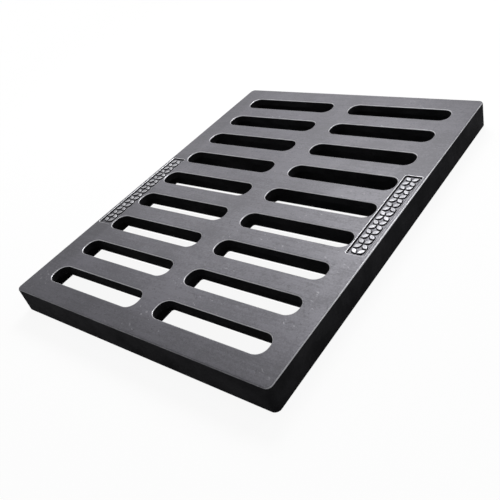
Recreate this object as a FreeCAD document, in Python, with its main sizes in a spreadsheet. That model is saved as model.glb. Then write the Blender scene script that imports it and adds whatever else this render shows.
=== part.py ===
"""Cast iron drain cover: one slotted casting with a skirt, a spine and cross ribs.

Millimetres. The origin is the centre of the plan on the seating face, +X runs along the slots,
+Y along the longer side and +Z up. The plan grows outwards from the slots, bars, spine and rim.
"""
import FreeCAD, Part
import math
import os

import Sketcher

# Driving dimensions, in millimetres, degrees or counts.
DIMENSIONS = {
    "row_count": 9,
    "slot_length": 174.0,
    "slot_width": 32.0,
    "slot_end_flat": 4.0,
    "slot_draft": 3.0,
    "lip_bevel": 1.2,
    "bar_width": 30.5,
    "spine_width": 34.0,
    "rim_width": 34.0,
    "cover_height": 40.0,
    "plan_corner_radius": 8.0,
    "top_edge_radius": 2.0,
    "seat_bevel": 1.0,
    "plate_thickness": 12.0,
    "skirt_thickness": 10.0,
    "well_corner_radius": 8.0,
    "rib_draft": 3.0,
    "rib_clearance": 4.0,
    "bar_rib_thickness": 7.0,
    "spine_rib_thickness": 10.0,
    "root_radius": 3.0,
    "panel_depth": 2.0,
    "panel_inner_margin": 3.5,
    "panel_outer_margin": 5.5,
    "panel_corner_radius": 2.0,
    "panel_draft": 15.0,
    "right_panel_length": 172.0,
    "right_panel_shift": 0.0,
    "left_panel_length": 186.0,
    "left_panel_shift": -42.0,
}

# Sizes that follow from the driving ones, as expressions on the sheet.
ROW_PITCH = "(dims.slot_width + dims.bar_width)"
COLUMN_PITCH = "(dims.slot_length + dims.spine_width)"
PLAN_WIDTH = "(2 * dims.rim_width + dims.slot_length + " + COLUMN_PITCH + ")"
PLAN_DEPTH = "(2 * dims.rim_width + dims.slot_width + (dims.row_count - 1) * " + ROW_PITCH + ")"
SLOT_END_RADIUS = "(dims.slot_width - dims.slot_end_flat) / 2"
WELL_WIDTH = "(" + PLAN_WIDTH + " - 2 * dims.skirt_thickness)"
WELL_DEPTH = "(" + PLAN_DEPTH + " - 2 * dims.skirt_thickness)"
PLATE_UNDERSIDE = "(dims.cover_height - dims.plate_thickness)"
RIB_HEIGHT = "(dims.cover_height - dims.plate_thickness / 2 - dims.rib_clearance)"
PANEL_WIDTH = "(dims.rim_width - dims.panel_inner_margin - dims.panel_outer_margin)"
PANEL_OFFSET = "(" + PLAN_WIDTH + " / 2 - dims.panel_outer_margin - " + PANEL_WIDTH + " / 2)"

# The two sides of the spine, with the sign of their X.
SIDES = {"left": "-", "right": ""}

LEVEL_TOLERANCE = 1e-4


def add_sheet(doc):
    """Puts the driving dimensions on a sheet, one named cell each."""
    sheet = doc.addObject("Spreadsheet::Sheet", "dims")
    sheet.Label = "dims"
    for row, (name, value) in enumerate(DIMENSIONS.items(), start=1):
        sheet.set(f"A{row}", name)
        sheet.set(f"B{row}", str(value))
        sheet.setAlias(f"B{row}", name)
    doc.recompute()
    return sheet


def origin_feature(body, role):
    """Returns one of the body's own axes or planes."""
    return next(feature for feature in body.Origin.OriginFeatures if feature.Role == role)


def add_rectangle(body, name, level, width, depth, radius, centre_x="0", centre_y="0"):
    """Adds a level sketch of a round-cornered rectangle, sized and placed by expressions."""
    sketch = body.newObject("Sketcher::SketchObject", name)
    sketch.Label = name
    sketch.AttachmentSupport = [(origin_feature(body, "XY_Plane"), "")]
    sketch.MapMode = "FlatFace"
    sketch.setExpression("AttachmentOffset.Base.x", centre_x)
    sketch.setExpression("AttachmentOffset.Base.y", centre_y)
    sketch.setExpression("AttachmentOffset.Base.z", level)

    half_x = float(sketch.evalExpression(width)) / 2
    half_y = float(sketch.evalExpression(depth)) / 2
    bend = float(sketch.evalExpression(radius))
    in_x = half_x - bend
    in_y = half_y - bend
    ends = [
        ((-in_x, -half_y), (in_x, -half_y)),
        ((half_x, -in_y), (half_x, in_y)),
        ((in_x, half_y), (-in_x, half_y)),
        ((-half_x, in_y), (-half_x, -in_y)),
    ]
    centres = [(in_x, -in_y), (in_x, in_y), (-in_x, in_y), (-in_x, -in_y)]
    lines = []
    arcs = []
    for start, end in ends:
        segment = Part.LineSegment(FreeCAD.Vector(*start, 0), FreeCAD.Vector(*end, 0))
        lines.append(sketch.addGeometry(segment))
    for quarter, centre in enumerate(centres):
        circle = Part.Circle(FreeCAD.Vector(*centre, 0), FreeCAD.Vector(0, 0, 1), bend)
        first = (quarter - 1) * math.pi / 2
        arcs.append(sketch.addGeometry(Part.ArcOfCircle(circle, first, first + math.pi / 2)))
    for side in range(4):
        sketch.addConstraint(Sketcher.Constraint("Tangent", lines[side], 2, arcs[side], 1))
        sketch.addConstraint(Sketcher.Constraint("Tangent", arcs[side], 2, lines[(side + 1) % 4], 1))
    for side in (0, 2):
        sketch.addConstraint(Sketcher.Constraint("Horizontal", lines[side]))
        sketch.addConstraint(Sketcher.Constraint("Vertical", lines[side + 1]))
    for corner in (1, 2, 3):
        sketch.addConstraint(Sketcher.Constraint("Equal", arcs[0], arcs[corner]))
    sketch.addConstraint(Sketcher.Constraint("Symmetric", arcs[3], 3, arcs[1], 3, -1, 1))
    sizes = {
        "bend": (Sketcher.Constraint("Radius", arcs[0], bend), radius),
        "width": (Sketcher.Constraint("DistanceX", lines[3], 1, lines[1], 1, 2 * half_x), width),
        "depth": (Sketcher.Constraint("DistanceY", lines[0], 1, lines[2], 1, 2 * half_y), depth),
    }
    for size, (constraint, expression) in sizes.items():
        index = sketch.addConstraint(constraint)
        sketch.renameConstraint(index, size)
        sketch.setExpression("Constraints." + size, expression)
    return sketch


def add_extrusion(body, kind, name, sketch, length, upwards, draft=None):
    """Adds a pad or a pocket of a sketch, drawn up or down.

    A positive draft angle widens it away from the sketch, and a negative one narrows it.
    """
    feature = body.newObject("PartDesign::" + kind, name)
    feature.Label = name
    feature.Profile = sketch
    feature.Type = "Length"
    feature.setExpression("Length", length)
    feature.Reversed = upwards == (kind == "Pocket")
    if draft is not None:
        feature.setExpression("TaperAngle", draft)
    body.Document.recompute()
    return feature


def add_rows(body, name, original, count, pitch):
    """Repeats a feature in rows towards the back."""
    rows = body.newObject("PartDesign::LinearPattern", name)
    rows.Label = name
    rows.Originals = [original]
    rows.Direction = (origin_feature(body, "Y_Axis"), [""])
    rows.Mode = "Spacing"
    rows.setExpression("Occurrences", count)
    rows.setExpression("Offset", pitch)
    body.Tip = rows
    body.Document.recompute()
    return rows


def edge_names(shape, wires):
    """Names the edges of a shape that belong to some of its wires."""
    wanted = [edge for wire in wires for edge in wire.Edges]
    names = []
    for index, edge in enumerate(shape.Edges, start=1):
        if any(edge.isSame(other) for other in wanted):
            names.append(f"Edge{index}")
    return names


def level_faces(shape, level):
    """Returns the flat faces that lie at a height, the largest first."""
    faces = [
        face
        for face in shape.Faces
        if abs(face.BoundBox.ZMin - level) < LEVEL_TOLERANCE
        and abs(face.BoundBox.ZMax - level) < LEVEL_TOLERANCE
    ]
    return sorted(faces, key=lambda face: face.Area, reverse=True)


def dress_edges(body, kind, name, size, pick):
    """Rounds (Fillet) or bevels (Chamfer) the wires that a function picks from the body so far."""
    base = body.Tip
    edges = edge_names(base.Shape, pick(base.Shape))
    dressing = body.newObject("PartDesign::" + kind, name)
    dressing.Label = name
    dressing.Base = (base, edges)
    dressing.setExpression("Radius" if kind == "Fillet" else "Size", size)
    body.Document.recompute()
    return dressing


def add_shell(body):
    """Adds the outer block and hollows it from below, which leaves the plate and the skirt."""
    outline = add_rectangle(body, "plan_outline", "0", PLAN_WIDTH, PLAN_DEPTH, "dims.plan_corner_radius")
    add_extrusion(body, "Pad", "block", outline, "dims.cover_height", upwards=True)
    well = add_rectangle(body, "well_outline", "0", WELL_WIDTH, WELL_DEPTH, "dims.well_corner_radius")
    add_extrusion(body, "Pocket", "well", well, PLATE_UNDERSIDE, upwards=True, draft="-dims.rib_draft")


def add_ribs(body):
    """Adds a rib under each bar and one under the spine, ending in the middle of the skirt."""
    bar_outline = add_rectangle(
        body,
        "bar_rib_outline",
        "dims.rib_clearance",
        PLAN_WIDTH + " - dims.skirt_thickness",
        "dims.bar_rib_thickness",
        "dims.bar_rib_thickness / 4",
        centre_y="-(dims.row_count - 2) / 2 * " + ROW_PITCH,
    )
    bar_rib = add_extrusion(
        body, "Pad", "bar_rib", bar_outline, RIB_HEIGHT, upwards=True, draft="dims.rib_draft"
    )
    add_rows(body, "bar_ribs", bar_rib, "dims.row_count - 1", ROW_PITCH)
    spine_outline = add_rectangle(
        body,
        "spine_rib_outline",
        "dims.rib_clearance",
        "dims.spine_rib_thickness",
        PLAN_DEPTH + " - dims.skirt_thickness",
        "dims.spine_rib_thickness / 4",
    )
    add_extrusion(
        body, "Pad", "spine_rib", spine_outline, RIB_HEIGHT, upwards=True, draft="dims.rib_draft"
    )


def add_slots(body):
    """Cuts a column of slots on each side of the spine, wider below so that the casting leaves its mould."""
    for side, sign in SIDES.items():
        outline = add_rectangle(
            body,
            side + "_slot_outline",
            "dims.cover_height",
            "dims.slot_length",
            "dims.slot_width",
            SLOT_END_RADIUS,
            centre_x=sign + COLUMN_PITCH + " / 2",
            centre_y="-(dims.row_count - 1) / 2 * " + ROW_PITCH,
        )
        slot = add_extrusion(
            body,
            "Pocket",
            side + "_slot",
            outline,
            "dims.cover_height - dims.rib_clearance",
            upwards=False,
            draft="dims.slot_draft",
        )
        add_rows(body, side + "_slots", slot, "dims.row_count", ROW_PITCH)


def add_panels(body):
    """Sinks a marking panel into each long side of the rim."""
    for side, sign in SIDES.items():
        outline = add_rectangle(
            body,
            side + "_panel_outline",
            "dims.cover_height",
            PANEL_WIDTH,
            f"dims.{side}_panel_length",
            "dims.panel_corner_radius",
            centre_x=sign + PANEL_OFFSET,
            centre_y=f"dims.{side}_panel_shift",
        )
        add_extrusion(
            body,
            "Pocket",
            side + "_panel",
            outline,
            "dims.panel_depth",
            upwards=False,
            draft="-dims.panel_draft",
        )


def dress(body, sheet):
    """Fillets the roots under the plate, bevels the slot lips and the seat, and rounds the top edge."""
    top = float(sheet.cover_height)
    plate_underside = top - float(sheet.plate_thickness)
    slot_length = float(sheet.slot_length)

    def roots(shape):
        return [face.OuterWire for face in level_faces(shape, plate_underside)]

    def slot_lips(shape):
        wires = level_faces(shape, top)[0].Wires
        return [wire for wire in wires if abs(wire.BoundBox.XLength - slot_length) < LEVEL_TOLERANCE]

    def top_outline(shape):
        return [level_faces(shape, top)[0].OuterWire]

    def seat_outline(shape):
        return [level_faces(shape, 0.0)[0].OuterWire]

    dress_edges(body, "Fillet", "roots", "dims.root_radius", roots)
    dress_edges(body, "Chamfer", "slot_lips", "dims.lip_bevel", slot_lips)
    dress_edges(body, "Fillet", "top_edge", "dims.top_edge_radius", top_outline)
    dress_edges(body, "Chamfer", "seat_edge", "dims.seat_bevel", seat_outline)


def check(doc, bodies):
    """Stops the build if an object failed, a pad or pocket missed, or a body isn't one sound solid."""
    for item in doc.Objects:
        if {"Invalid", "Error"} & set(item.State):
            raise RuntimeError(f"{item.Label} failed: {item.State}")
    for feature in doc.findObjects("PartDesign::FeatureExtrude"):
        if feature.BaseFeature is None:
            continue
        gain = feature.Shape.Volume - feature.BaseFeature.Shape.Volume
        adds = feature.isDerivedFrom("PartDesign::Pad")
        if gain == 0 or (gain > 0) != adds:
            raise RuntimeError(f"{feature.Label} points the wrong way")
    for body in bodies:
        if body.Shape.isNull() or not body.Shape.isValid() or len(body.Shape.Solids) != 1:
            raise RuntimeError(f"{body.Label} isn't one valid solid")


def main():
    """Builds the cover and writes its one part."""
    doc = FreeCAD.newDocument("drain_cover")
    sheet = add_sheet(doc)
    body = doc.addObject("PartDesign::Body", "grate")
    body.Label = "grate"
    add_shell(body)
    add_ribs(body)
    add_slots(body)
    add_panels(body)
    dress(body, sheet)
    body.Placement = FreeCAD.Placement()
    doc.recompute()
    check(doc, [body])
    os.makedirs("parts", exist_ok=True)
    body.Shape.exportStep(f"parts/{body.Label}.step")
    print(f"{body.Label}: {body.Shape.Volume:.0f} mm3")


main()
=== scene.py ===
"""Looks of a cast iron drain cover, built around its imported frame.

The casting is one closed surface: every slot with the cell below it is a profile carried round a
rounded rectangle, the skirt is a profile carried round the plan, and flat regions are filled between
those loops. Sizes are in millimetres in the casting's classes and become metres when the mesh is
made. Finishes, lights and the camera are in metres.
"""
import logging
import math
from dataclasses import dataclass, field
from enum import Enum

import bmesh
import bpy
import numpy as np
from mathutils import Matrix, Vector
from mathutils.geometry import delaunay_2d_cdt


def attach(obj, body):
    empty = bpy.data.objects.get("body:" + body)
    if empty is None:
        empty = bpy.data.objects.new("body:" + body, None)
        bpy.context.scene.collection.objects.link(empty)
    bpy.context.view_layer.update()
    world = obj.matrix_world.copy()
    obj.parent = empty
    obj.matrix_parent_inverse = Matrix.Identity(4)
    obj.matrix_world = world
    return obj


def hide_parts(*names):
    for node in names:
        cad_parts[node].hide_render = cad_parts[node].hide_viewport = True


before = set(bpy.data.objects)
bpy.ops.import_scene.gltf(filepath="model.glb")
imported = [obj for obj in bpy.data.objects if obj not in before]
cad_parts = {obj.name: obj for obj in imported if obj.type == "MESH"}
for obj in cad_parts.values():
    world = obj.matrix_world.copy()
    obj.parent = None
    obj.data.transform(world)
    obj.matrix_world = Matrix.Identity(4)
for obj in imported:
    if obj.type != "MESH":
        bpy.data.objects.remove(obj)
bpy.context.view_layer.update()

LOG = logging.getLogger("drain_cover")

# What a node's input takes: another node's output, a number or a colour.
Feed = bpy.types.NodeSocket | float | tuple[float, ...]
Triple = tuple[float, float, float]

RUB = "rub"
MM = 0.001
CUBIC_CM = 1e-6
# Points of neighbouring patches closer than this, in metres, become one.
WELD = 2e-6
# Points of one line closer than this, in millimetres, are the same point.
SAME_POINT = 1e-6
FILL_TOLERANCE = 1e-7
# The triangulation's own number for keeping only what lies inside the lines.
FILL_INSIDE = 1
SHARP_ANGLE = math.radians(50)
DRAFT = math.tan(math.radians(3))
# Signs of the right, back, left and front sides.
OUTWARD = np.array([1, 1, -1, -1])
WHITE = (1.0, 1.0, 1.0, 1.0)
COAT_COLOUR = (0.0096, 0.0096, 0.0106)


class Zone(Enum):
    """The two finishes of the casting, by material slot."""

    COAT = 0
    RUBBED = 1


class Column(Enum):
    """The two columns of slots, by the sign of their X."""

    LEFT = -1
    RIGHT = 1


class Group(Enum):
    """Shared shader effects."""

    CAST_SKIN = "cast_skin"
    RUB_AND_HIGHLIGHT_EDGE = "rubbed_edge"
    DRAG_MARKS = "drag_marks"


def quarter(steps: int) -> np.ndarray:
    """Returns the angles of a quarter turn in equal steps."""
    return np.linspace(0, np.pi / 2, steps + 1)


def distinct(loop: np.ndarray) -> np.ndarray:
    """Returns a closed line without points that repeat the one before them."""
    return loop[np.linalg.norm(loop - np.roll(loop, 1, axis=0), axis=1) > SAME_POINT]


def raised(flat: np.ndarray, z: np.ndarray) -> np.ndarray:
    """Gives plan points the height of their loop.

    Args:
        flat: X and Y of the points, shape (..., loops, points, 2).
        z: height of each loop.

    Returns:
        Points of shape (..., loops, points, 3).
    """
    height = np.broadcast_to(z[:, None, None], flat.shape[:-1] + (1,))
    return np.concatenate([flat, height], axis=-1)


@dataclass(frozen=True)
class Casting:
    """Driving sizes that the slots, the skirt and the rim panels share."""

    rows: int = 9
    slot_length: float = 174.0
    slot_width: float = 32.0
    slot_end_flat: float = 4.0
    bar_width: float = 30.5
    spine_width: float = 34.0
    rim_width: float = 34.0
    height: float = 40.0
    plate: float = 12.0
    skirt: float = 10.0
    corner: float = 8.0
    well_corner: float = 8.0
    bar_rib: float = 7.0
    spine_rib: float = 10.0
    rib_tip: float = 4.0
    seat_round: float = 0.8

    @property
    def row_pitch(self) -> float:
        """Distance from one slot to the next in a column."""
        return self.slot_width + self.bar_width

    @property
    def column_pitch(self) -> float:
        """Distance from one column of slots to the other."""
        return self.slot_length + self.spine_width

    @property
    def half(self) -> np.ndarray:
        """Half length of the plan along X and Y: the field of slots and the rim round it."""
        field_x = self.column_pitch + self.slot_length
        field_y = (self.rows - 1) * self.row_pitch + self.slot_width
        return np.array([field_x, field_y]) / 2 + self.rim_width

    @property
    def well(self) -> np.ndarray:
        """Half length of the hollow inside the skirt along X and Y, at the seat."""
        return self.half - self.skirt

    @property
    def underside(self) -> float:
        """Height of the plate's lower face."""
        return self.height - self.plate


@dataclass(frozen=True)
class LoopPlan:
    """How many steps a rounded rectangle takes, so that loops of one plan join point to point."""

    corner_steps: int
    x_steps: int
    y_steps: int

    @property
    def corner_points(self) -> int:
        """Points of one corner, whose two ends are doubled."""
        return self.corner_steps + 3

    @property
    def side_steps(self) -> tuple[int, int, int, int]:
        """Steps of the right, back, left and front sides."""
        return self.y_steps, self.x_steps, self.y_steps, self.x_steps

    def loops(self, walls: np.ndarray, radii: np.ndarray, z: np.ndarray) -> np.ndarray:
        """Carries rounded rectangles round their four corners, counter-clockwise.

        A corner point is the corner's centre plus its radius times the unit vector of its angle, and
        a side's points divide the line from one corner's end to the next corner's start.

        Args:
            walls: right, back, left and front lines of each loop, shape (loops, 4).
            radii: the front right, back right, back left and front left radii, shape (loops, 4).
            z: height of each loop, shape (loops,).

        Returns:
            Points of shape (loops, points, 3).
        """
        x_walls, y_walls = walls[:, [0, 0, 2, 2]], walls[:, [3, 1, 1, 3]]
        inward = np.array([[-1, 1], [-1, -1], [1, -1], [1, 1]])
        centres = np.stack([x_walls, y_walls], axis=-1) + inward * radii[:, :, None]
        sweep = np.concatenate([[0], quarter(self.corner_steps), [np.pi / 2]])
        angle = sweep + np.arange(-1, 3)[:, None] * np.pi / 2
        spokes = np.stack([np.cos(angle), np.sin(angle)], axis=-1)
        corners = centres[:, :, None] + radii[:, :, None, None] * spokes
        starts = corners[:, :, -1:]
        reaches = np.roll(corners, -1, axis=1)[:, :, :1] - starts
        plan = []
        for corner, steps in enumerate(self.side_steps):
            share = (np.arange(1, steps) / steps)[:, None]
            plan += [corners[:, corner], starts[:, corner] + reaches[:, corner] * share]
        return raised(np.concatenate(plan, axis=1), z)

    def seated(self, skirt: np.ndarray) -> np.ndarray:
        """Marks the points of a loop that lie on sides where the skirt goes on down to the seat.

        Args:
            skirt: whether the right, back, left and front sides are the skirt.

        Returns:
            One flag a point. A corner between a rib and the skirt has its skirt end marked.
        """
        flags = []
        for corner, steps in enumerate(self.side_steps):
            before, after = skirt[corner - 1], skirt[corner]
            ends = np.full(self.corner_points, before and after)
            ends[0] |= before
            ends[-1] |= after
            flags += [ends, np.full(steps - 1, after)]
        return np.concatenate(flags)


@dataclass
class Shell:
    """Gathers patches of one closed surface, and makes the mesh."""

    points: list[np.ndarray] = field(default_factory=list)
    faces: list[list[int]] = field(default_factory=list)
    rub: list[np.ndarray] = field(default_factory=list)
    zones: list[np.ndarray] = field(default_factory=list)
    count: int = 0

    def take(self, points: np.ndarray, faces: np.ndarray, rub: np.ndarray, zones: np.ndarray) -> None:
        """Adds a patch.

        Args:
            points: the patch's points, shape (points, 3).
            faces: its faces, by the numbers of its own points.
            rub: rub value of each point.
            zones: zone value of each face.
        """
        self.faces += (faces + self.count).tolist()
        self.points.append(points)
        self.rub.append(rub)
        self.zones.append(zones)
        self.count += len(points)

    def band(self, grid: np.ndarray, rub: np.ndarray, zones: np.ndarray, inside: bool = False) -> None:
        """Adds a band of closed loops, as quads between one loop and the next.

        Args:
            grid: loops in order, shape (loops, points, 3).
            rub: rub value of each loop, shape (loops,), or of each point, shape (loops, points).
            zones: zone value of each row of quads.
            inside: turns the quads over, for a band that runs up the inside of an opening.
        """
        loops, ring = grid.shape[:2]
        number = np.arange(loops * ring).reshape(loops, ring)
        ahead = np.roll(number, -1, axis=1)
        quads = np.stack([number[:-1], ahead[:-1], ahead[1:], number[1:]], axis=-1).reshape(-1, 4)
        if inside:
            quads = quads[:, ::-1]
        values = np.broadcast_to(rub.reshape(loops, -1), (loops, ring)).ravel()
        self.take(grid.reshape(-1, 3), quads, values, np.repeat(zones, ring))

    def fill(self, outer: np.ndarray, holes: list[np.ndarray], zone: Zone) -> None:
        """Fills the flat region inside one closed line and outside others with triangles.

        A triangle whose corners all lie on the same inner line is in a hole, and is left out. One
        whose corners run clockwise, by the sign of its cross product, is turned over.

        Args:
            outer: the line round the region, counter-clockwise, shape (points, 3).
            holes: convex lines inside it.
            zone: the region's finish.
        """
        lines = [distinct(line) for line in [outer, *holes]]
        sizes = np.array([len(line) for line in lines])
        owner = np.repeat(np.arange(len(lines)), sizes)
        first = np.repeat(np.cumsum(sizes) - sizes, sizes)
        number = np.arange(sizes.sum())
        ahead = first + (number - first + 1) % np.repeat(sizes, sizes)
        points = np.concatenate(lines)
        flat = points[:, :2]
        edges = np.stack([number, ahead], axis=-1)
        made = delaunay_2d_cdt(flat.tolist(), edges.tolist(), [], FILL_INSIDE, FILL_TOLERANCE)
        triangles = np.array(made[2])
        own = owner[triangles]
        in_hole = (own[:, 0] > 0) & (own == own[:, :1]).all(axis=1)
        triangles = triangles[~in_hole]
        start = flat[triangles[:, 0]]
        second, third = flat[triangles[:, 1]] - start, flat[triangles[:, 2]] - start
        turned = second[:, 0] * third[:, 1] < second[:, 1] * third[:, 0]
        triangles[turned] = triangles[turned][:, ::-1]
        self.take(points, triangles, np.zeros(len(points)), np.full(len(triangles), zone.value))

    def mesh(self, name: str) -> bpy.types.Mesh:
        """Joins the patches to one mesh in metres.

        Args:
            name: the mesh's name.

        Returns:
            The mesh, with its rub values, zones and sharp edges.
        """
        mesh = bpy.data.meshes.new(name)
        mesh.from_pydata((np.concatenate(self.points) * MM).tolist(), [], self.faces)
        mesh.polygons.foreach_set("material_index", np.concatenate(self.zones).astype(np.int32))
        layer = mesh.attributes.new(RUB, "FLOAT", "POINT")
        layer.data.foreach_set("value", np.concatenate(self.rub).astype(np.float32))
        work = bmesh.new()
        work.from_mesh(mesh)
        bmesh.ops.remove_doubles(work, verts=work.verts, dist=WELD)
        open_edges = sum(not edge.is_manifold for edge in work.edges)
        volume = work.calc_volume(signed=True) / CUBIC_CM
        LOG.info("%s: %d faces, %d open edges, %.0f cm3", name, len(work.faces), open_edges, volume)
        work.to_mesh(mesh)
        work.free()
        mesh.shade_smooth()
        mesh.set_sharp_from_angle(angle=SHARP_ANGLE)
        return mesh


@dataclass(frozen=True)
class SlotCell:
    """One slot in the plate, with the cell between ribs and skirt below it."""

    column: Column
    row: int
    casting: Casting
    cell_corner: float = 4.0
    tip_radius: float = 1.5
    root_radius: float = 3.0
    lower_radius: float = 0.8
    lip_radius: float = 1.7
    lip_land: float = 0.3
    lip_rub: float = 0.92
    rubbed_bands: int = 5
    tip_steps: int = 3
    root_steps: int = 4
    lower_steps: int = 3
    lip_steps: int = 6
    plan: LoopPlan = LoopPlan(corner_steps=8, x_steps=6, y_steps=2)

    @property
    def skirt(self) -> np.ndarray:
        """Whether the right, back, left and front sides of the cell are the skirt."""
        at_back, at_front = self.row == self.casting.rows - 1, self.row == 0
        return np.array([self.column is Column.RIGHT, at_back, self.column is Column.LEFT, at_front])

    @property
    def centre(self) -> np.ndarray:
        """X and Y of the slot's centre."""
        y = (self.row - (self.casting.rows - 1) / 2) * self.casting.row_pitch
        return np.array([self.column.value * self.casting.column_pitch / 2, y])

    @property
    def rib_middle(self) -> np.ndarray:
        """Middle lines of the ribs on the cell's right, back, left and front, where it has them."""
        back, front = self.centre[1] + np.array([0.5, -0.5]) * self.casting.row_pitch
        return np.array([0.0, back, 0.0, front])

    def walls(self, z: np.ndarray, bite: np.ndarray) -> np.ndarray:
        """Lines of the cell's four walls, which lean out downwards by the draft.

        Args:
            z: heights.
            bite: how far each loop reaches into the ribs beyond their walls.

        Returns:
            Right, back, left and front lines, shape (heights, 4).
        """
        sizes = self.casting
        z, bite = z[:, None], bite[:, None]
        rib_half = np.tile([sizes.spine_rib, sizes.bar_rib], 2) / 2
        at_skirt = OUTWARD * np.tile(sizes.well, 2) - OUTWARD * z * DRAFT
        at_rib = self.rib_middle - OUTWARD * (rib_half + (z - sizes.rib_tip) * DRAFT - bite)
        return np.where(self.skirt, at_skirt, at_rib)

    def corners(self, z: np.ndarray, rib_corner: float) -> np.ndarray:
        """Radii of the cell's corners.

        Args:
            z: heights.
            rib_corner: the radius of a corner that has a rib on one side or both.

        Returns:
            Radii of shape (heights, 4), with the well's own between two sides of the skirt.
        """
        both = self.skirt & np.roll(self.skirt, 1)
        own = self.casting.well_corner - z[:, None] * DRAFT
        return np.where(both, own, rib_corner)

    def edge_line(self) -> np.ndarray:
        """Finds where this cell meets its neighbours and the seat.

        Returns:
            A closed line along the middles of the ribs and the foot of the skirt, shape (points, 3).
        """
        heights = np.array([self.casting.rib_tip, self.casting.seat_round])
        walls = np.where(self.skirt, self.walls(heights, np.zeros(2)), self.rib_middle)
        at_tip, at_seat = self.plan.loops(walls, self.corners(heights, 0.0), heights)
        return np.where(self.plan.seated(self.skirt)[:, None], at_seat, at_tip)

    def seat_run(self) -> np.ndarray:
        """Finds the part of the edge line that lies on the skirt.

        Returns:
            Its points in order, counter-clockwise, shape (points, 3).
        """
        flags = self.plan.seated(self.skirt)
        start = int(np.argmax(flags & ~np.roll(flags, 1)))
        return np.roll(self.edge_line(), -start, axis=0)[np.roll(flags, -start)]

    def slot_loops(self, grow: np.ndarray, z: np.ndarray) -> np.ndarray:
        """Carries loops round the slot, grown by an offset and by the draft below the top.

        Args:
            grow: offset of each loop from the slot's outline at the top.
            z: height of each loop.

        Returns:
            Loops of shape (loops, points, 3).
        """
        sizes = self.casting
        grow = grow + (sizes.height - z) * DRAFT
        reach = np.array([sizes.slot_length, sizes.slot_width]) / 2 + grow[:, None]
        walls = np.tile(self.centre, 2) + OUTWARD * np.tile(reach, 2)
        radius = (sizes.slot_width - sizes.slot_end_flat) / 2 + grow
        return self.plan.loops(walls, np.repeat(radius[:, None], 4, axis=1), z)

    def land(self) -> np.ndarray:
        """The loop on the top face where the slot's own band ends."""
        grow = np.array([self.lip_radius + self.lip_land])
        return self.slot_loops(grow, np.array([self.casting.height]))[0]

    def build(self, shell: Shell) -> None:
        """Adds the band up the cell from the rib tips, across the underside, up the slot and over its lip.

        Each rounded edge is a quarter circle: its offset and its height are a radius times one minus
        the cosine, and the sine, of the angle.

        Args:
            shell: the surface to add to.
        """
        sizes = self.casting
        tip, root = quarter(self.tip_steps), quarter(self.root_steps)
        low, lip = quarter(self.lower_steps), quarter(self.lip_steps)
        tip_z = sizes.rib_tip + self.tip_radius * (1 - np.cos(tip))
        root_z = sizes.underside - self.root_radius * (1 - np.sin(root))
        cell_z = np.concatenate([tip_z, root_z])
        bite = np.concatenate([self.tip_radius * (1 - np.sin(tip)), np.zeros(len(root))])
        inset = np.concatenate([np.zeros(len(tip)), self.root_radius * (1 - np.cos(root))])[:, None]
        walls = self.walls(cell_z, bite) - OUTWARD * inset
        cell = self.plan.loops(walls, self.corners(cell_z, self.cell_corner) - inset, cell_z)
        low_z = sizes.underside + self.lower_radius * (1 - np.cos(low))
        lip_z = sizes.height - self.lip_radius * (1 - np.sin(lip))
        low_grow, lip_grow = self.lower_radius * (1 - np.sin(low)), self.lip_radius * (1 - np.cos(lip))
        slot = self.slot_loops(np.concatenate([low_grow, lip_grow]), np.concatenate([low_z, lip_z]))
        grid = np.concatenate([self.edge_line()[None], cell, slot, self.land()[None]])
        rub = np.zeros(len(grid))
        rub[-1 - len(lip):-1] = self.lip_rub * np.sin(2 * lip)
        zones = np.full(len(grid) - 1, Zone.COAT.value)
        zones[-self.rubbed_bands:] = Zone.RUBBED.value
        shell.band(grid, rub, zones, inside=True)


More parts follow.
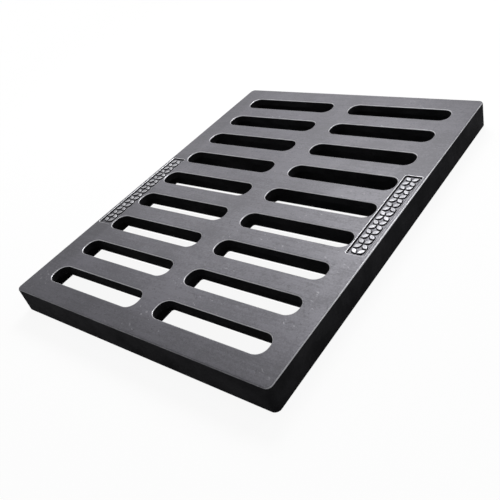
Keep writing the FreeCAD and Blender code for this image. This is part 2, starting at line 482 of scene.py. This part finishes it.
@dataclass(frozen=True)
class Skirt:
    """The outer wall: the seat, the upright sides and the rounded top edge."""

    casting: Casting
    top_radius: float = 2.0
    seat_bevel: float = 1.2
    land: float = 1.6
    edge_rub: float = 0.52
    # The next two add painted highlight along the right top edge, brightest beside its panel, on top of
    # the wear.
    right_highlight: float = 0.32
    panel_highlight: float = 1.15
    panel_place: float = -40.0
    panel_reach: float = 135.0
    rubbed_bands: int = 5
    bevel_steps: int = 3
    edge_steps: int = 6

    def carried(self, line: np.ndarray, inset: np.ndarray, z: np.ndarray) -> np.ndarray:
        """Carries the line round the well out to the plan, one loop for each inset and height.

        A point's nearest place on the inner rectangle is scaled to the plan's own, and the point is
        set one corner radius from it, in the same direction.

        Args:
            line: points round the well at its foot, shape (points, 3).
            inset: how far each loop lies inside the plan.
            z: height of each loop.

        Returns:
            Loops of shape (loops, points, 3).
        """
        sizes = self.casting
        inner, outer = sizes.well - sizes.well_corner, sizes.half - sizes.corner
        nearest = np.clip(line[:, :2], -inner, inner)
        away = (line[:, :2] - nearest) / (sizes.well_corner - sizes.seat_round * DRAFT)
        radius = (sizes.corner - inset)[:, None, None]
        return raised(nearest * outer / inner + away * radius, z)

    def edge_wear_and_highlight(self, line: np.ndarray) -> np.ndarray:
        """Works out the top edge's rub value: even wear all round, plus a painted highlight along the
        right edge, brightest beside its panel.

        The share beside the panel is a bell curve of the distance along Y from its place.

        Args:
            line: points round the top face, shape (points, 3).

        Returns:
            A rub value for each point.
        """
        corner = self.casting.corner
        rightward = np.clip(line[:, 0] - self.casting.half[0] + corner, 0, None) / corner
        beside_panel = np.exp(-(((line[:, 1] - self.panel_place) / self.panel_reach) ** 2))
        return self.edge_rub + rightward * (self.right_highlight + self.panel_highlight * beside_panel)

    def build(self, shell: Shell, line: np.ndarray) -> np.ndarray:
        """Adds the band from the foot of the well round the seat, up the side and over the top edge.

        Args:
            shell: the surface to add to.
            line: points round the well at its foot.

        Returns:
            The last loop, on the top face.
        """
        sizes = self.casting
        foot = sizes.skirt - sizes.seat_round
        bevel, edge = quarter(self.bevel_steps), quarter(self.edge_steps)
        bevel_in, bevel_z = self.seat_bevel * (1 - np.sin(bevel)), self.seat_bevel * (1 - np.cos(bevel))
        edge_in = self.top_radius * (1 - np.cos(edge))
        edge_z = sizes.height - self.top_radius * (1 - np.sin(edge))
        inset = np.concatenate([[foot], bevel_in, edge_in, [self.top_radius + self.land]])
        z = np.concatenate([[0.0], bevel_z, edge_z, [sizes.height]])
        grid = np.concatenate([line[None], self.carried(line, inset, z)])
        rub = np.zeros(grid.shape[:2])
        # Wear over the top edge, with painted highlight added along the right edge.
        rub[-1 - len(edge):-1] = np.sin(2 * edge)[:, None] * self.edge_wear_and_highlight(grid[-1])
        zones = np.full(len(grid) - 1, Zone.COAT.value)
        zones[-self.rubbed_bands:] = Zone.RUBBED.value
        shell.band(grid, rub, zones)
        return grid[-1]


@dataclass(frozen=True)
class RimPanel:
    """A sunk panel in the rim with a plain tread of crossed lozenges.

    The three profiles run from a lozenge's foot to its crest: how far each loop is grown, its share
    of the rise, and its rub value, which the point at the middle of the crest has too.
    """

    column: Column
    length: float
    shift: float
    casting: Casting
    inner_margin: float = 3.5
    outer_margin: float = 5.5
    depth: float = 2.0
    corner: float = 2.0
    least_corner: float = 0.5
    edge_radius: float = 0.8
    edge_rub: float = 0.9
    rubbed_bands: int = 3
    land: float = 0.3
    root_radius: float = 0.5
    outline: float = 0.5
    round_steps: int = 3
    slope: float = math.tan(math.radians(15))
    pitch: float = 9.8
    rows: int = 2
    long_half: float = 5.6
    short_half: float = 3.3
    least_half: float = 0.05
    rise: float = 1.8
    lean: float = math.radians(45)
    steps: int = 20
    grow_profile: tuple[float, ...] = (0.9, 0.4, -0.1, -0.5, -1.0, -2.0)
    rise_profile: tuple[float, ...] = (0.0, 0.1, 0.7, 0.92, 1.0, 1.0)
    rub_profile: tuple[float, ...] = (0.0, 0.0, 0.4, 0.64, 0.66, 0.54, 0.54)
    # Bands at each lozenge's foot that take the black coat, as a painted shade outline.
    shade_foot_bands: int = 2
    plan: LoopPlan = LoopPlan(corner_steps=4, x_steps=3, y_steps=12)

    @property
    def width(self) -> float:
        """Width of the panel, between its margins on the rim."""
        return self.casting.rim_width - self.inner_margin - self.outer_margin

    @property
    def centre(self) -> np.ndarray:
        """X and Y of the panel's centre."""
        offset = self.casting.half[0] - self.outer_margin - self.width / 2
        return np.array([self.column.value * offset, self.shift])

    @property
    def floor(self) -> float:
        """Height of the panel's floor."""
        return self.casting.height - self.depth

    def loops(self, grow: np.ndarray, z: np.ndarray) -> np.ndarray:
        """Carries loops round the panel, grown by an offset.

        Args:
            grow: offset of each loop from the panel's outline.
            z: height of each loop.

        Returns:
            Loops of shape (loops, points, 3).
        """
        reach = np.array([self.width, self.length]) / 2 + grow[:, None]
        walls = np.tile(self.centre, 2) + OUTWARD * np.tile(reach, 2)
        radii = np.maximum(self.corner + grow, self.least_corner)
        return self.plan.loops(walls, np.repeat(radii[:, None], 4, axis=1), z)

    def border(self) -> np.ndarray:
        """The loop on the top face where the panel's own band ends."""
        return self.loops(np.array([self.edge_radius + self.land]), np.array([self.casting.height]))[0]

    def lozenges(self) -> np.ndarray:
        """Lays out the tread's lozenges as loops from their feet to their crests.

        A lozenge's line is its half length times the cosine, and its half width times the squared
        sine, of the angle round it. Neighbours lean opposite ways.

        Returns:
            Loops of shape (lozenges, loops, points, 3), the last one shrunk to a point.
        """
        columns = int((self.length - self.pitch / 2) // self.pitch)
        along, across = np.meshgrid(np.arange(columns), np.arange(self.rows), indexing="ij")
        steps_off = np.stack([across - (self.rows - 1) / 2, along - (columns - 1) / 2], axis=-1)
        places = self.centre + steps_off.reshape(-1, 1, 1, 2) * self.pitch
        lean = np.where((along + across).ravel() % 2, self.lean, -self.lean)[:, None, None]
        angle = np.arange(self.steps) * 2 * np.pi / self.steps
        grow = np.array(self.grow_profile)[:, None]
        long = (self.long_half + grow) * np.cos(angle)
        short = (self.short_half + grow).clip(self.least_half) * np.sin(angle) * np.abs(np.sin(angle))
        turned_x = np.cos(lean) * long - np.sin(lean) * short
        turned_y = np.sin(lean) * long + np.cos(lean) * short
        flat = np.stack([turned_x, turned_y], axis=-1) + places
        solid = raised(flat, self.floor + np.array(self.rise_profile) * self.rise)
        crest = solid[:, -1:]
        middle = np.broadcast_to(crest.mean(axis=2, keepdims=True), crest.shape)
        return np.concatenate([solid, middle], axis=1)

    def build(self, shell: Shell) -> None:
        """Adds the panel's sloped walls, its floor and its tread.

        Args:
            shell: the surface to add to.
        """
        top = self.casting.height
        turn = quarter(self.round_steps)
        edge_grow = self.edge_radius * (1 - np.sin(turn))
        edge_z = top - self.edge_radius * (1 - np.cos(turn))
        sloped = (self.depth - self.root_radius) * self.slope
        root_grow = -sloped - self.root_radius * (1 - np.cos(turn))
        root_z = self.floor + self.root_radius * (1 - np.sin(turn))
        land_grow = self.edge_radius + self.land
        floor_grow = -self.depth * self.slope - self.root_radius - self.outline
        grow = np.concatenate([[land_grow], edge_grow, root_grow, [floor_grow]])
        z = np.concatenate([[top], edge_z, root_z, [self.floor]])
        grid = self.loops(grow, z)
        rub = np.zeros(len(grid))
        rub[1:1 + self.rubbed_bands] = self.edge_rub
        zones = np.full(len(grid) - 1, Zone.COAT.value)
        zones[:self.rubbed_bands] = Zone.RUBBED.value
        shell.band(grid, rub, zones)
        tread = self.lozenges()
        tread_zones = np.full(tread.shape[1] - 1, Zone.RUBBED.value)
        # Painted shade: the foot of each lozenge takes the black coat, a dark outline round the relief.
        tread_zones[:self.shade_foot_bands] = Zone.COAT.value
        for lozenge in tread:
            shell.band(lozenge, np.array(self.rub_profile), tread_zones)
        shell.fill(grid[-1], list(tread[:, 0]), Zone.RUBBED)


class NodeBoard:
    """Places nodes in a tree and joins them."""

    # A Mix node's colour sockets share their names with its other sockets, so they go by number.
    MIX_FIRST = 6
    MIX_SECOND = 7
    MIX_RESULT = 2

    def __init__(self, tree: bpy.types.NodeTree) -> None:
        """Starts on an empty tree."""
        self.tree = tree
        tree.nodes.clear()

    def add(
        self, kind: str, inputs: dict[str | int, Feed] | None = None, **settings: object
    ) -> bpy.types.Node:
        """Adds a node.

        Args:
            kind: the node's type without its "ShaderNode" prefix, or a whole type name.
            inputs: socket name or number to a value or to another node's output socket.
            settings: the node's own properties.

        Returns:
            The node.
        """
        node = self.tree.nodes.new(kind if kind.startswith("Node") else "ShaderNode" + kind)
        for name, value in settings.items():
            setattr(node, name, value)
        for name, value in (inputs or {}).items():
            if isinstance(value, bpy.types.NodeSocket):
                self.tree.links.new(value, node.inputs[name])
            else:
                node.inputs[name].default_value = value
        return node

    def math(self, operation: str, first: Feed, second: Feed, third: Feed = 0.0) -> bpy.types.NodeSocket:
        """Adds a Math node and returns its result."""
        return self.add("Math", {0: first, 1: second, 2: third}, operation=operation).outputs[0]

    def ramp(
        self, value: Feed, low: float, high: float, to_low: float = 0.0, to_high: float = 1.0
    ) -> bpy.types.NodeSocket:
        """Adds a smooth step from one range to another and returns its result."""
        inputs = {"Value": value, "From Min": low, "From Max": high, "To Min": to_low, "To Max": to_high}
        return self.add("MapRange", inputs, interpolation_type="SMOOTHSTEP").outputs["Result"]

    def blend(self, factor: Feed, first: Feed, second: Feed) -> bpy.types.NodeSocket:
        """Adds a colour mix and returns its result."""
        inputs = {"Factor": factor, self.MIX_FIRST: first, self.MIX_SECOND: second}
        return self.add("Mix", inputs, data_type="RGBA").outputs[self.MIX_RESULT]

    def noise(self, vector: Feed, scale: Feed, detail: float, roughness: float) -> bpy.types.NodeSocket:
        """Adds a noise texture and returns its value."""
        inputs = {"Vector": vector, "Scale": scale, "Detail": detail, "Roughness": roughness}
        return self.add("TexNoise", inputs).outputs[0]

    def scaled(self, vector: Feed, x: Feed, y: Feed, z: Feed) -> bpy.types.NodeSocket:
        """Multiplies a vector's parts and returns the result."""
        factors = self.add("CombineXYZ", {"X": x, "Y": y, "Z": z}).outputs[0]
        return self.add("VectorMath", {0: vector, 1: factors}, operation="MULTIPLY").outputs[0]


class Effects:
    """Shader groups that both finishes of the casting use.

    A pair named for an edge is the noise level where that effect starts and where it is full.
    """

    PORE_SPARSENESS = 0.55
    PORE_EDGE = (0.30, 0.38)
    SLOW_SHARE = 0.08
    RUB_EDGE = (0.25, 0.95)
    SCUFF_SHORTNESS = 8.0
    SCUFF_ANGLE = 0.5
    SCUFF_EDGE = (0.64, 0.76)
    PATCH_SHARE = 0.7
    PATCH_EDGE = (0.50, 0.68)

    def __init__(self) -> None:
        """Builds each group once."""
        self.trees = {
            Group.CAST_SKIN: self.cast_skin(),
            Group.RUB_AND_HIGHLIGHT_EDGE: self.rubbed_edge(),
            Group.DRAG_MARKS: self.drag_marks(),
        }

    @staticmethod
    def start(
        group: Group, inputs: dict[str, str], outputs: list[str]
    ) -> tuple[NodeBoard, dict[str, bpy.types.NodeSocket], bpy.types.Node]:
        """Starts a group with named sockets.

        Args:
            group: which effect it is.
            inputs: socket name to "Vector" or "Float".
            outputs: names of the value outputs.

        Returns:
            The board, the input sockets by name and the output node.
        """
        tree = bpy.data.node_groups.new(group.value, "ShaderNodeTree")
        for name, kind in inputs.items():
            tree.interface.new_socket(name=name, in_out="INPUT", socket_type="NodeSocket" + kind)
        for name in outputs:
            tree.interface.new_socket(name=name, in_out="OUTPUT", socket_type="NodeSocketFloat")
        board = NodeBoard(tree)
        entry = board.add("NodeGroupInput")
        return board, {name: entry.outputs[name] for name in inputs}, board.add("NodeGroupOutput")

    def cast_skin(self) -> bpy.types.NodeTree:
        """Makes sand-cast skin: pebbled height with small pores, and slow mottling.

        Returns:
            The group.
        """
        board, given, out = self.start(
            Group.CAST_SKIN,
            {"Vector": "Vector", "Pebble Size": "Float", "Pore Depth": "Float", "Mottle Size": "Float"},
            ["Height", "Mottle", "Pores"],
        )
        place = given["Vector"]
        pebble_scale = board.math("DIVIDE", 1.0, given["Pebble Size"])
        pebble = board.noise(place, pebble_scale, detail=4.0, roughness=0.6)
        pore_scale = board.math("MULTIPLY", pebble_scale, self.PORE_SPARSENESS)
        pitted = board.noise(place, pore_scale, detail=2.0, roughness=0.5)
        pores = board.ramp(pitted, *self.PORE_EDGE, to_low=1.0, to_high=0.0)
        sunk = board.math("MULTIPLY", pores, given["Pore Depth"])
        mottle_scale = board.math("DIVIDE", 1.0, given["Mottle Size"])
        mottle = board.noise(place, mottle_scale, detail=5.0, roughness=0.6)
        links = board.tree.links
        links.new(board.math("SUBTRACT", pebble, sunk), out.inputs["Height"])
        links.new(mottle, out.inputs["Mottle"])
        links.new(pores, out.inputs["Pores"])
        return board.tree

    def rubbed_edge(self) -> bpy.types.NodeTree:
        """Makes edge rubbing, and the painted highlight that the rub value carries on the right top edge:
        the rub value broken up by a fine and a slow noise.

        Returns:
            The group.
        """
        board, given, out = self.start(
            Group.RUB_AND_HIGHLIGHT_EDGE,
            {"Rub": "Float", "Vector": "Vector", "Grit Size": "Float", "Spread": "Float"},
            ["Mask"],
        )
        scale = board.math("DIVIDE", 1.0, given["Grit Size"])
        grit = board.noise(given["Vector"], scale, detail=3.0, roughness=0.6)
        slow_scale = board.math("MULTIPLY", scale, self.SLOW_SHARE)
        slow = board.noise(given["Vector"], slow_scale, detail=2.0, roughness=0.5)
        uneven = board.math("SUBTRACT", board.math("ADD", grit, slow), 1.0)
        worn = board.math("MULTIPLY_ADD", uneven, given["Spread"], given["Rub"])
        board.tree.links.new(board.ramp(worn, *self.RUB_EDGE), out.inputs["Mask"])
        return board.tree

    def drag_marks(self) -> bpy.types.NodeTree:
        """Makes faint marks drawn along X, a noise stretched along them, and sparse short scuffs.

        Returns:
            The group.
        """
        board, given, out = self.start(
            Group.DRAG_MARKS,
            {"Vector": "Vector", "Length": "Float", "Spacing": "Float"},
            ["Marks", "Scuffs"],
        )
        place = given["Vector"]
        along = board.math("DIVIDE", 1.0, given["Length"])
        across = board.math("DIVIDE", 1.0, given["Spacing"])
        drawn = board.scaled(place, along, across, along)
        marks = board.noise(drawn, 1.0, detail=4.0, roughness=0.65)
        turn = {"Vector": place, "Angle": self.SCUFF_ANGLE}
        turned = board.add("VectorRotate", turn, rotation_type="Z_AXIS").outputs[0]
        laid = board.scaled(turned, board.math("MULTIPLY", along, self.SCUFF_SHORTNESS), across, along)
        fine = board.ramp(board.noise(laid, 1.0, detail=2.0, roughness=0.5), *self.SCUFF_EDGE)
        patch_scale = board.math("MULTIPLY", along, self.PATCH_SHARE)
        patches = board.ramp(board.noise(place, patch_scale, detail=2.0, roughness=0.5), *self.PATCH_EDGE)
        board.tree.links.new(marks, out.inputs["Marks"])
        board.tree.links.new(board.math("MULTIPLY", fine, patches), out.inputs["Scuffs"])
        return board.tree


@dataclass(frozen=True)
class CastFinish:
    """A finish of the casting, from its coat or rubbed skin to the metal that shows at its edges.

    A pair named for a rim or a span is where along its axis, or over which tones, a change runs.
    """

    name: str
    dark: Triple
    light: Triple
    bare: Triple
    metallic: float
    specular: float
    roughness: tuple[float, float]
    bare_roughness: float
    pebble_size: float
    pore_depth: float
    mottle_size: float
    marks: float
    grain: float
    scuffs: float
    spread: float
    bump: float
    # How far the front and left rims are darkened toward the coat's colour, as painted shade.
    rim_shade: float = 0.0
    left_rim: tuple[float, float] = (-0.196, -0.186)
    front_rim: tuple[float, float] = (-0.272, -0.260)
    grit_size: float = 0.0018
    mark_length: float = 0.06
    mark_spacing: float = 0.0036
    mark_relief: float = 0.15
    noise_middle: float = 0.5
    tone_span: tuple[float, float] = (0.30, 0.70)
    rough_span: tuple[float, float] = (0.25, 0.75)
    pore_shade: float = 0.5
    bare_metallic: float = 0.5
    bump_distance: float = 0.0004

    def shaded_rims(self, board: NodeBoard, place: bpy.types.NodeSocket) -> bpy.types.NodeSocket:
        """Marks the front and left rims, where the top gets painted shade.

        Args:
            board: the material's board.
            place: the object coordinates.

        Returns:
            A mask, 1 on those rims.
        """
        axes = board.add("SeparateXYZ", {"Vector": place})
        left = board.ramp(axes.outputs["X"], *self.left_rim, to_low=1.0, to_high=0.0)
        front = board.ramp(axes.outputs["Y"], *self.front_rim, to_low=1.0, to_high=0.0)
        return board.math("MAXIMUM", left, front)

    def material(self, effects: Effects) -> bpy.types.Material:
        """Makes the material: mottled skin with drag marks, painted shade on the front and left rims, and
        bare metal where the rub mask is.

        Args:
            effects: the shared groups.

        Returns:
            The material.
        """
        material = bpy.data.materials.new(self.name)
        material.use_nodes = True
        board = NodeBoard(material.node_tree)
        place = board.add("TexCoord").outputs["Object"]
        # The rub value is edge wear; on the right top edge it also carries painted highlight.
        rub = board.add("Attribute", attribute_name=RUB).outputs["Fac"]
        skin_inputs = {
            "Vector": place,
            "Pebble Size": self.pebble_size,
            "Pore Depth": self.pore_depth,
            "Mottle Size": self.mottle_size,
        }
        edge_inputs = {"Rub": rub, "Vector": place, "Grit Size": self.grit_size, "Spread": self.spread}
        drag_inputs = {"Vector": place, "Length": self.mark_length, "Spacing": self.mark_spacing}
        skin = board.add("Group", skin_inputs, node_tree=effects.trees[Group.CAST_SKIN]).outputs
        edge = board.add("Group", edge_inputs, node_tree=effects.trees[Group.RUB_AND_HIGHLIGHT_EDGE]).outputs
        drag = board.add("Group", drag_inputs, node_tree=effects.trees[Group.DRAG_MARKS]).outputs

        pebbles = board.math("SUBTRACT", skin["Height"], self.noise_middle)
        grained = board.math("MULTIPLY_ADD", pebbles, self.grain, skin["Mottle"])
        strokes = board.math("SUBTRACT", drag["Marks"], self.noise_middle)
        tone = board.math("MULTIPLY_ADD", strokes, self.marks, grained)
        scuffed = board.math("MULTIPLY", drag["Scuffs"], self.scuffs)
        mask = board.math("MAXIMUM", edge["Mask"], scuffed)

        colour = board.blend(board.ramp(tone, *self.tone_span), (*self.dark, 1), (*self.light, 1))
        pored = board.math("MULTIPLY", skin["Pores"], self.pore_shade)
        shaded = board.blend(pored, colour, (*self.dark, 1))
        # Painted shade: the front and left rims are darkened toward the black coat's colour.
        rim_darkening = board.math("MULTIPLY", self.shaded_rims(board, place), self.rim_shade)
        rim_shaded_colour = board.blend(rim_darkening, shaded, (*COAT_COLOUR, 1))
        shown = board.blend(mask, rim_shaded_colour, (*self.bare, 1))

        rough = board.ramp(tone, *self.rough_span, *self.roughness)
        to_bare = board.math("SUBTRACT", self.bare_roughness, rough)
        relief = board.math("MULTIPLY_ADD", drag["Marks"], self.mark_relief, skin["Height"])
        bump_inputs = {"Strength": self.bump, "Distance": self.bump_distance, "Height": relief}
        more_metal = self.bare_metallic - self.metallic
        shader = board.add(
            "BsdfPrincipled",
            {
                "Base Color": shown,
                "Metallic": board.math("MULTIPLY_ADD", mask, more_metal, self.metallic),
                "Roughness": board.math("MULTIPLY_ADD", mask, to_bare, rough),
                "Specular IOR Level": self.specular,
                "Normal": board.add("Bump", bump_inputs).outputs[0],
            },
        )
        board.add("OutputMaterial", {"Surface": shader.outputs[0]})
        return material


COAT = CastFinish(
    name="black_coat",
    dark=COAT_COLOUR,
    light=(0.0184, 0.0181, 0.020),
    bare=(0.10, 0.10, 0.11),
    metallic=0.0,
    specular=0.014,
    roughness=(0.86, 0.72),
    bare_roughness=0.45,
    pebble_size=0.0022,
    pore_depth=0.5,
    mottle_size=0.05,
    marks=0.15,
    grain=0.2,
    scuffs=0.0,
    spread=0.35,
    bump=0.45,
)
RUBBED = CastFinish(
    name="rubbed_iron",
    dark=(0.069, 0.067, 0.079),
    light=(0.095, 0.092, 0.109),
    bare=(0.46, 0.46, 0.48),
    metallic=0.15,
    specular=0.24,
    roughness=(0.44, 0.37),
    bare_roughness=0.30,
    pebble_size=0.0026,
    pore_depth=0.35,
    mottle_size=0.07,
    marks=0.62,
    grain=0.85,
    scuffs=0.28,
    spread=0.30,
    bump=0.35,
    # Painted shade on the front and left rims.
    rim_shade=0.22,
)


@dataclass(frozen=True)
class DrainCover:
    """The whole casting, with each rim panel's length and its shift along the rim."""

    name: str = "grate_casting"
    casting: Casting = Casting()
    right_panel: tuple[float, float] = (172.0, 0.0)
    left_panel: tuple[float, float] = (186.0, -42.0)

    def cell(self, column: Column, row: int) -> SlotCell:
        """Returns one slot with its cell."""
        return SlotCell(column, row, self.casting)

    def panels(self) -> list[RimPanel]:
        """Returns the panels sunk in the right and left rims."""
        sides = ((Column.RIGHT, self.right_panel), (Column.LEFT, self.left_panel))
        return [RimPanel(column, *place, self.casting) for column, place in sides]

    def foot_line(self) -> np.ndarray:
        """Joins the cells' runs along the skirt into the line round the foot of the well.

        Returns:
            A closed line, counter-clockwise from the left front cell, shape (points, 3).
        """
        rows = self.casting.rows
        round_trip = [(Column.LEFT, 0)]
        round_trip += [(Column.RIGHT, row) for row in range(rows)]
        round_trip += [(Column.LEFT, row) for row in range(rows - 1, 0, -1)]
        return distinct(np.concatenate([self.cell(column, row).seat_run() for column, row in round_trip]))

    def surface(self) -> Shell:
        """Gathers the cells, the skirt, the panels and the top face between them.

        Returns:
            The closed surface.
        """
        shell = Shell()
        cells = [self.cell(column, row) for column in Column for row in range(self.casting.rows)]
        for cell in cells:
            cell.build(shell)
        rim = Skirt(self.casting).build(shell, self.foot_line())
        panels = self.panels()
        for panel in panels:
            panel.build(shell)
        holes = [cell.land() for cell in cells] + [panel.border() for panel in panels]
        shell.fill(rim, holes, Zone.RUBBED)
        return shell

    def build(self) -> bpy.types.Object:
        """Makes the casting and its finishes, and sets it on the frame.

        Returns:
            The piece.
        """
        piece = bpy.data.objects.new(self.name, self.surface().mesh(self.name))
        bpy.context.scene.collection.objects.link(piece)
        weighted = piece.modifiers.new("even_normals", "WEIGHTED_NORMAL")
        weighted.keep_sharp = True
        effects = Effects()
        for finish in (COAT, RUBBED):
            piece.data.materials.append(finish.material(effects))
        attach(piece, "root")
        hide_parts("grate")
        return piece


@dataclass(frozen=True)
class Softbox:
    """A soft rectangular light, with its centre, its width and height, and its power in watts."""

    name: str
    place: Triple
    size: tuple[float, float]
    watts: float

    def build(self, aim: Triple) -> bpy.types.Object:
        """Makes the light.

        Args:
            aim: the point that it faces.

        Returns:
            The light.
        """
        data = bpy.data.lights.new(self.name, "AREA")
        data.shape = "RECTANGLE"
        data.size, data.size_y = self.size
        data.energy = self.watts
        light = bpy.data.objects.new(self.name, data)
        light.location = self.place
        away = Vector(self.place) - Vector(aim)
        light.rotation_euler = away.to_track_quat("Z", "Y").to_euler()
        bpy.context.scene.collection.objects.link(light)
        return light


@dataclass(frozen=True)
class Studio:
    """Floor, soft light, white surroundings and camera, whose turn is in degrees."""

    floor_size: float = 12.0
    floor_lines: int = 9
    floor_drop: float = 0.0004
    floor_colour: Triple = (0.95, 0.95, 0.95)
    floor_white: float = 0.92
    fade: tuple[float, float] = (0.45, 1.6)
    ambient: float = 0.20
    softboxes: tuple[Softbox, ...] = (
        Softbox("left_softbox", (-1.20, 0.95, 1.30), (0.8, 0.5), 2.1),
        Softbox("back_softbox", (-0.62, 1.38, 1.25), (0.6, 0.5), 7.1),
        Softbox("high_softbox", (-0.45, 1.20, 1.60), (0.8, 0.5), 22.8),
        Softbox("near_softbox", (-0.90, 0.60, 0.85), (0.5, 0.4), 1.8),
        Softbox("edge_softbox", (0.80, 1.40, 1.25), (0.7, 0.6), 8.0),
        Softbox("top_softbox", (-0.05, 0.10, 1.60), (0.4, 0.4), 2.0),
    )
    aim: Triple = (0.0, 0.0, 0.04)
    lens: float = 44.937
    sensor: float = 36.0
    clip: tuple[float, float] = (0.01, 50.0)
    eye: Triple = (0.55297, -0.56715, 0.51861)
    turn: Triple = (52.4989, 15.0695, 35.8412)

    @staticmethod
    def seen(board: NodeBoard) -> bpy.types.NodeSocket:
        """Marks the rays that show the surroundings.

        Args:
            board: the board of the floor's material or of the world.

        Returns:
            1 for camera, glossy and transmission rays.
        """
        path = board.add("LightPath").outputs
        first = board.math("MAXIMUM", path["Is Camera Ray"], path["Is Glossy Ray"])
        return board.math("MAXIMUM", first, path["Is Transmission Ray"])

    def floor_material(self) -> bpy.types.Material:
        """Makes the floor's material: matt, but shown nearly white, and white far from the part.

        Returns:
            The material.
        """
        material = bpy.data.materials.new("pale_floor")
        material.use_nodes = True
        board = NodeBoard(material.node_tree)
        matt = board.add("BsdfDiffuse", {"Color": (*self.floor_colour, 1)})
        white = board.add("Emission", {"Color": WHITE, "Strength": 1.0})
        place = board.add("TexCoord").outputs["Object"]
        reach = board.add("VectorMath", {0: place}, operation="LENGTH").outputs["Value"]
        white_share = board.ramp(reach, *self.fade, to_low=self.floor_white)
        share = board.math("MULTIPLY", self.seen(board), white_share)
        mixed = board.add("MixShader", {0: share, 1: matt.outputs[0], 2: white.outputs[0]})
        board.add("OutputMaterial", {"Surface": mixed.outputs[0]})
        return material

    def floor(self) -> bpy.types.Object:
        """Makes the pale floor, a grid of two parameters, which keeps a soft shadow.

        Returns:
            The floor.
        """
        line = np.linspace(-0.5, 0.5, self.floor_lines) * self.floor_size
        x, y = np.meshgrid(line, line, indexing="ij")
        points = np.stack([x, y, np.full_like(x, -self.floor_drop)], axis=-1).reshape(-1, 3)
        number = np.arange(points.shape[0]).reshape(x.shape)
        corners = [number[:-1, :-1], number[1:, :-1], number[1:, 1:], number[:-1, 1:]]
        mesh = bpy.data.meshes.new("floor")
        mesh.from_pydata(points.tolist(), [], np.stack(corners, axis=-1).reshape(-1, 4).tolist())
        mesh.materials.append(self.floor_material())
        floor = bpy.data.objects.new("floor", mesh)
        bpy.context.scene.collection.objects.link(floor)
        return floor

    def world(self) -> None:
        """Sets white surroundings, which light the part at a lower level than they show."""
        world = bpy.data.worlds.new("white_room")
        bpy.context.scene.world = world
        world.use_nodes = True
        board = NodeBoard(world.node_tree)
        dim = board.add("Background", {"Color": WHITE, "Strength": self.ambient})
        full = board.add("Background", {"Color": WHITE, "Strength": 1.0})
        mixed = board.add("MixShader", {0: self.seen(board), 1: dim.outputs[0], 2: full.outputs[0]})
        board.add("OutputWorld", {"Surface": mixed.outputs[0]})

    def camera(self) -> bpy.types.Object:
        """Sets the camera at the photograph's viewing angle.

        Returns:
            The camera.
        """
        data = bpy.data.cameras.new("camera")
        data.lens = self.lens
        data.sensor_width = self.sensor
        data.clip_start, data.clip_end = self.clip
        camera = bpy.data.objects.new("camera", data)
        camera.location = self.eye
        camera.rotation_euler = [math.radians(angle) for angle in self.turn]
        bpy.context.scene.collection.objects.link(camera)
        bpy.context.scene.camera = camera
        return camera

    def build(self) -> None:
        """Sets up the floor, the surroundings, the lights and the camera."""
        self.floor()
        self.world()
        for softbox in self.softboxes:
            softbox.build(self.aim)
        self.camera()
        bpy.context.scene.view_settings.view_transform = "Standard"


def main() -> None:
    """Builds the cover and its studio, and reports each piece."""
    logging.basicConfig(level=logging.INFO, format="%(message)s")
    piece = DrainCover().build()
    LOG.info("piece %s: %d faces", piece.name, len(piece.data.polygons))
    Studio().build()


if __name__ == "__main__":
    main()
